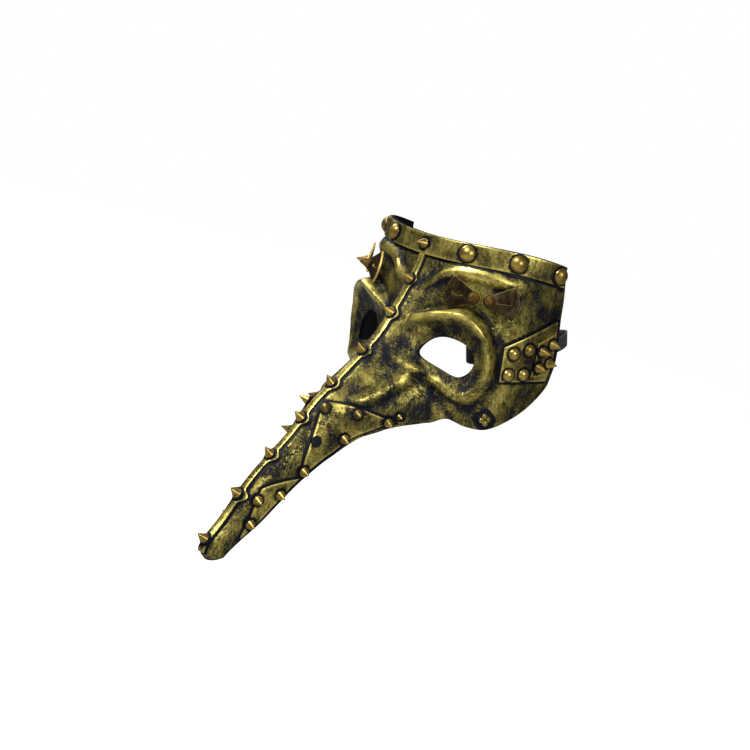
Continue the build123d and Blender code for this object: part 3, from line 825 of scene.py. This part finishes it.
# %% Node helpers
def new_group(name, inputs, outputs):
    group = bpy.data.node_groups.new(name, "ShaderNodeTree")
    for label, kind, value in inputs:
        socket = group.interface.new_socket(name=label, in_out="INPUT", socket_type=kind)
        socket.default_value = value
    for label, kind in outputs:
        group.interface.new_socket(name=label, in_out="OUTPUT", socket_type=kind)
    return group, group.nodes.new("NodeGroupInput"), group.nodes.new("NodeGroupOutput")


def math_node(tree, operation, first, second=None, third=None, clamp=False):
    node = tree.nodes.new("ShaderNodeMath")
    node.operation = operation
    node.use_clamp = clamp
    for socket, value in zip(node.inputs, (first, second, third)):
        if value is None:
            continue
        if isinstance(value, (int, float)):
            socket.default_value = value
        else:
            tree.links.new(value, socket)
    return node.outputs[0]


def noise_node(tree, scale, stretch, turn, detail=5.0, rough=0.6, distort=0.3):
    where = tree.nodes.new("ShaderNodeTexCoord")
    mapping = tree.nodes.new("ShaderNodeMapping")
    mapping.inputs["Scale"].default_value = stretch
    mapping.inputs["Rotation"].default_value = [math.radians(a) for a in turn]
    noise = tree.nodes.new("ShaderNodeTexNoise")
    noise.inputs["Scale"].default_value = scale
    noise.inputs["Detail"].default_value = detail
    noise.inputs["Roughness"].default_value = rough
    noise.inputs["Distortion"].default_value = distort
    tree.links.new(where.outputs["Object"], mapping.inputs["Vector"])
    tree.links.new(mapping.outputs["Vector"], noise.inputs["Vector"])
    return noise.outputs["Fac"]


print("noise helper ready")


# %% Colour and mask nodes
def mix_colour(tree, factor, first, second):
    node = tree.nodes.new("ShaderNodeMix")
    node.data_type = "RGBA"
    for socket, value in ((node.inputs[0], factor), (node.inputs[6], first), (node.inputs[7], second)):
        if isinstance(value, (int, float)):
            socket.default_value = value
        elif isinstance(value, tuple):
            socket.default_value = (*value, 1)
        else:
            tree.links.new(value, socket)
    return node.outputs[2]


def ramp(tree, value, low, high):
    node = tree.nodes.new("ShaderNodeMapRange")
    node.interpolation_type = "SMOOTHSTEP"
    node.inputs["From Min"].default_value = low
    node.inputs["From Max"].default_value = high
    tree.links.new(value, node.inputs["Value"])
    return node.outputs["Result"]


def mask(tree, name):
    node = tree.nodes.new("ShaderNodeAttribute")
    node.attribute_name = name
    return node.outputs["Fac"]


print("node helpers ready")

# %% Dry-brushed gold
FLOAT, COLOUR = "NodeSocketFloat", "NodeSocketColor"
brush, brush_in, brush_out = new_group(
    "dry_brushed_gold",
    [("Gold", FLOAT, 0.0), ("Proud", FLOAT, 0.0), ("Shade and bare spot", FLOAT, 0.0), ("Dark", FLOAT, 0.0),
     ("Warm", FLOAT, 0.0)],
    [("Colour", COLOUR), ("Metal", FLOAT), ("Rough", FLOAT), ("Height", FLOAT)])
streak_a = noise_node(brush, 700, (1.0, 1.0, 0.34), (0, 25, 20), 9, 0.8, 0.9)
streak_b = noise_node(brush, 660, (0.34, 0.5, 1.0), (0, -38, 10), 9, 0.8, 0.9)
choice = ramp(brush, noise_node(brush, 45, (1, 1, 1), (0, 0, 0), 2, 0.5, 0.2), 0.44, 0.56)
streaks = math_node(brush, "ADD", math_node(brush, "MULTIPLY", streak_a, choice),
                    math_node(brush, "MULTIPLY", streak_b, math_node(brush, "SUBTRACT", 1.0, choice)))
patches = noise_node(brush, 62, (1, 1, 0.7), (0, 20, 0), 3, 0.55, 0.4)
patch_push = math_node(brush, "MULTIPLY", math_node(brush, "SUBTRACT", patches, 0.5), 0.75)
total = math_node(brush, "ADD", streaks, patch_push)
fleck = noise_node(brush, 1500, (1, 1, 0.5), (15, 25, 0), 3, 0.7, 0.4)
fleck_push = math_node(brush, "MULTIPLY", math_node(brush, "SUBTRACT", fleck, 0.5), 0.45)
total = math_node(brush, "ADD", total, fleck_push)
total = math_node(brush, "ADD", total, brush_in.outputs["Gold"])
# The proud input adds gold, with a painted highlight on crests, and the next input takes gold away as painted
# shade.
total = math_node(brush, "ADD", total, math_node(brush, "MULTIPLY", brush_in.outputs["Proud"], 0.15))
total = math_node(brush, "SUBTRACT", total, math_node(brush, "MULTIPLY", brush_in.outputs["Shade and bare spot"], 0.75))
total = math_node(brush, "SUBTRACT", total, brush_in.outputs["Dark"])
cover = ramp(brush, total, 0.43, 0.53)
thick = ramp(brush, total, 0.52, 0.84)
tone = noise_node(brush, 150, (1, 1, 0.6), (10, 30, 0), 4, 0.6, 0.2)
gold = mix_colour(brush, ramp(brush, tone, 0.35, 0.65), (0.042, 0.037, 0.012), (0.145, 0.122, 0.031))
gold = mix_colour(brush, thick, gold, (0.62, 0.515, 0.13))
gold = mix_colour(brush, brush_in.outputs["Warm"], gold, (0.19, 0.105, 0.024))
paint = mix_colour(brush, cover, (0.0010, 0.0016, 0.0055), gold)
brush.links.new(paint, brush_out.inputs["Colour"])
brush.links.new(math_node(brush, "MULTIPLY", cover, 0.8), brush_out.inputs["Metal"])
rough = math_node(brush, "MULTIPLY_ADD", cover, -0.14, 0.42)
rough = math_node(brush, "MULTIPLY_ADD", tone, 0.16, rough)
brush.links.new(rough, brush_out.inputs["Rough"])
paint_height = math_node(brush, "ADD", math_node(brush, "MULTIPLY", cover, 0.5), streaks)
brush.links.new(paint_height, brush_out.inputs["Height"])
print("paint group", len(brush.nodes), "nodes")


# %% Painted finishes
def finish(name):
    material = bpy.data.materials.new(name)
    material.use_nodes = True
    return material, material.node_tree, material.node_tree.nodes["Principled BSDF"]


def painted(name, gold, warm, proud=None, shade_and_bare_spot=None, dark=None, relief_strength=0.35):
    material, tree, shader = finish(name)
    group = tree.nodes.new("ShaderNodeGroup")
    group.node_tree = brush
    group.inputs["Gold"].default_value = gold
    group.inputs["Warm"].default_value = warm
    shader.inputs["Specular IOR Level"].default_value = 0.12
    for label, value in (("Proud", proud), ("Shade and bare spot", shade_and_bare_spot), ("Dark", dark)):
        if value is not None:
            socket = value(tree)
            tree.links.new(socket, group.inputs[label])
    tree.links.new(group.outputs["Colour"], shader.inputs["Base Color"])
    tree.links.new(group.outputs["Metal"], shader.inputs["Metallic"])
    tree.links.new(group.outputs["Rough"], shader.inputs["Roughness"])
    relief_node = tree.nodes.new("ShaderNodeBump")
    relief_node.inputs["Strength"].default_value = relief_strength
    relief_node.inputs["Distance"].default_value = 0.0004
    tree.links.new(group.outputs["Height"], relief_node.inputs["Height"])
    tree.links.new(relief_node.outputs["Normal"], shader.inputs["Normal"])
    return material


def wear(material, *pieces):
    for piece in pieces:
        piece.data.materials.clear()
        piece.data.materials.append(material)


# The second mask darkens the paint as painted shade beside glued pieces and round studs; on one plate it also
# holds the bare spot of a lost stud.
shell_paint = painted("shell_paint", 0.01, 0.0, lambda t: mask(t, "proud"), lambda t: mask(t, "shade_and_bare_spot"),
                      lambda t: math_node(t, "MULTIPLY", mask(t, "inner"), 3.0))
trim_paint = painted("trim_paint", 0.08, 0.05, lambda t: mask(t, "edge"), lambda t: mask(t, "shade_and_bare_spot"))
# Stud paint: the foot is darkened as painted shade where the stud meets the surface.
stud_paint = painted("stud_paint", 0.12, 0.6, lambda t: math_node(t, "MULTIPLY", mask(t, "rise"), 0.6),
                     lambda t: ramp(t, math_node(t, "SUBTRACT", 0.16, mask(t, "rise")), 0.0, 0.16), None, 0.2)
wear(shell_paint, shell)
wear(trim_paint, *trims, *bases)
wear(stud_paint, *all_studs)
print("gold on", 1 + len(trims) + len(bases) + len(all_studs), "pieces")

# %% [markdown]
# ## Bronze gears and pivots
# The sectors are a darker, browner metal than the gold, with a painted highlight along
# their teeth, edges and rims. The same edge mask that was stored with the bevel picks out
# where that highlight is painted.

# %% Bronze
bronze, tree, shader = finish("bronze_with_edge_highlight")
grain = noise_node(tree, 260, (1, 1, 0.5), (0, 35, 0), 6, 0.65, 0.3)
# Painted highlight on the sectors' teeth, edges and rims.
edge_highlight = ramp(tree, math_node(tree, "ADD", math_node(tree, "MULTIPLY", mask(tree, "edge"), 0.8),
                              math_node(tree, "MULTIPLY", grain, 0.5)), 0.45, 0.90)
body_tone = mix_colour(tree, ramp(tree, grain, 0.35, 0.7), (0.006, 0.0040, 0.0015), (0.055, 0.032, 0.009))
tree.links.new(mix_colour(tree, edge_highlight, body_tone, (0.85, 0.64, 0.20)), shader.inputs["Base Color"])
tree.links.new(math_node(tree, "MULTIPLY_ADD", grain, 0.3, 0.28), shader.inputs["Roughness"])
shader.inputs["Metallic"].default_value = 0.8
worn = tree.nodes.new("ShaderNodeBump")
worn.inputs["Strength"].default_value = 0.25
worn.inputs["Distance"].default_value = 0.0003
tree.links.new(grain, worn.inputs["Height"])
tree.links.new(worn.outputs["Normal"], shader.inputs["Normal"])
wear(bronze, *gears, *spacers)
pivot_paint = painted("pivot_paint", 0.07, 0.8, lambda t: mask(t, "edge"))
wear(pivot_paint, *pivots)
print("bronze on", len(gears) + len(spacers), "pieces, paint on", len(pivots), "pivots")

# %% [markdown]
# ## Black elastic
# Woven elastic shows fine ribs along its length and threads across them. Two sine waves on
# the ribbon's own map make that weave, so it follows every bend, and a little noise on top
# gives the fuzz of used elastic.

# %% Elastic

elastic, tree, shader = finish("woven_elastic")
places = tree.nodes.new("ShaderNodeUVMap")
places.uv_map = "UVMap"
parts = tree.nodes.new("ShaderNodeSeparateXYZ")
tree.links.new(places.outputs["UV"], parts.inputs[0])
ribs = math_node(tree, "SINE", math_node(tree, "MULTIPLY", parts.outputs[1], 2 * math.pi * 9))
picks = math_node(tree, "SINE", math_node(tree, "MULTIPLY", parts.outputs[0], 2 * math.pi * 12))
weave = math_node(tree, "MULTIPLY", ribs, picks)
fuzz = noise_node(tree, 1500, (1, 1, 1), (0, 0, 0), 3, 0.6, 0)
woven_light = math_node(tree, "MULTIPLY_ADD", weave, 0.25, 0.4)
shade = math_node(tree, "ADD", woven_light, math_node(tree, "MULTIPLY", fuzz, 0.3))
thread = mix_colour(tree, shade, (0.003, 0.003, 0.005), (0.016, 0.016, 0.022))
tree.links.new(thread, shader.inputs["Base Color"])
tree.links.new(math_node(tree, "MULTIPLY_ADD", fuzz, 0.2, 0.62), shader.inputs["Roughness"])
shader.inputs["Sheen Weight"].default_value = 0.05
woven = tree.nodes.new("ShaderNodeBump")
woven.inputs["Strength"].default_value = 0.6
woven.inputs["Distance"].default_value = 0.0003
tree.links.new(weave, woven.inputs["Height"])
tree.links.new(woven.outputs["Normal"], shader.inputs["Normal"])
wear(elastic, strap)
print("weave on", strap.name)

# %% [markdown]
# ## Black rivets
# The rivets that hold the elastic are blackened metal, shiny where cloth rubs their edges.

# %% Rivet finish

blackened, tree, shader = finish("blackened_metal")
spots = noise_node(tree, 700, (1, 1, 1), (0, 0, 0), 4, 0.6, 0)
edge_push = math_node(tree, "MULTIPLY", mask(tree, "edge"), 0.4)
rub = ramp(tree, math_node(tree, "ADD", edge_push, spots), 0.62, 1.0)
black = mix_colour(tree, rub, (0.012, 0.012, 0.014), (0.16, 0.15, 0.14))
tree.links.new(black, shader.inputs["Base Color"])
tree.links.new(math_node(tree, "MULTIPLY_ADD", spots, 0.25, 0.25), shader.inputs["Roughness"])
shader.inputs["Metallic"].default_value = 0.9
wear(blackened, *rivets)
for master in (cone, small_cone, band_dome, temple_dome):
    bpy.data.objects.remove(master)
print("finishes", [material.name for material in bpy.data.materials])

# %% [markdown]
# ## Stage, light and camera
# A pale floor and large soft lights show the paint without hard glare. Floor and sky look
# white but give little light of their own, so the black paint stays black. The camera
# stands a metre away, a little above the eyes and well to the wearer's left, and is
# tilted on its side, which lays the nose down towards the lower left.

# %% Stage
FLOOR_SIZE = 12
FLOOR_HEIGHT = -0.33
SKY_LIGHT = 0.06
bpy.ops.object.select_all(action="DESELECT")
bpy.ops.mesh.primitive_plane_add(size=FLOOR_SIZE, location=(0, 0, FLOOR_HEIGHT))
floor = bpy.context.object
floor.name = "floor"
bpy.ops.object.transform_apply(location=True)
print("floor at", FLOOR_HEIGHT, "m")
floor_paint, tree, shader = finish("pale_floor")
shader.inputs["Base Color"].default_value = (0.5, 0.5, 0.5, 1)
shader.inputs["Roughness"].default_value = 0.9
shader.inputs["Emission Color"].default_value = (1, 1, 1, 1)
seen = tree.nodes.new("ShaderNodeLightPath").outputs["Is Camera Ray"]
tree.links.new(math_node(tree, "MULTIPLY", seen, 1.0), shader.inputs["Emission Strength"])
wear(floor_paint, floor)

world = bpy.data.worlds.new("studio")
bpy.context.scene.world = world
world.use_nodes = True
sky = world.node_tree
sky.nodes["Background"].inputs["Color"].default_value = (1, 1, 1, 1)
seen = sky.nodes.new("ShaderNodeLightPath").outputs["Is Camera Ray"]
sky_strength = math_node(sky, "MULTIPLY_ADD", seen, 1 - SKY_LIGHT, SKY_LIGHT)
sky.links.new(sky_strength, sky.nodes["Background"].inputs["Strength"])


def lamp(name, place, aim, size, watts):
    light = bpy.data.lights.new(name, "AREA")
    light.shape = "DISK"
    light.size = size
    light.energy = watts
    holder = bpy.data.objects.new(name, light)
    bpy.context.collection.objects.link(holder)
    holder.location = place
    holder.rotation_euler = (Vector(aim) - Vector(place)).to_track_quat("-Z", "Y").to_euler()


lamp("key", (-0.1, -0.95, 0.95), (0, 0, 0), 0.35, 27)
lamp("fill", (1.2, -0.35, 0.5), (0, 0, 0), 0.4, 12)
lamp("rim", (-0.8, 0.1, 0.7), (0, 0, 0), 0.4, 7)

# %% Camera
CAMERA_TURN = math.radians(42.2)
CAMERA_RISE = math.radians(3.63)
CAMERA_ROLL = math.radians(16.32)
CAMERA_DISTANCE = 1.0482
CAMERA_AIM = Vector((0, 0, 0.027))
SENSOR = 36
FOCAL_SHARE = 1404.6 / 750
FRAME_SHIFT = (-33.93 / 750, -70.29 / 750)
back = Vector((math.sin(CAMERA_TURN) * math.cos(CAMERA_RISE), -math.cos(CAMERA_TURN) * math.cos(CAMERA_RISE),
               math.sin(CAMERA_RISE)))
lens = bpy.data.cameras.new("camera")
lens.sensor_width = SENSOR
lens.lens = SENSOR * FOCAL_SHARE
lens.shift_x, lens.shift_y = FRAME_SHIFT
camera = bpy.data.objects.new("camera", lens)
bpy.context.collection.objects.link(camera)
camera.location = CAMERA_AIM + back * CAMERA_DISTANCE
aim = (-back).to_track_quat("-Z", "Y").to_matrix()
camera.rotation_euler = (aim @ Matrix.Rotation(CAMERA_ROLL, 3, "Z")).to_euler()
bpy.context.scene.camera = camera
bpy.context.scene.view_settings.view_transform = "Standard"
print("camera", [round(v, 3) for v in camera.location])
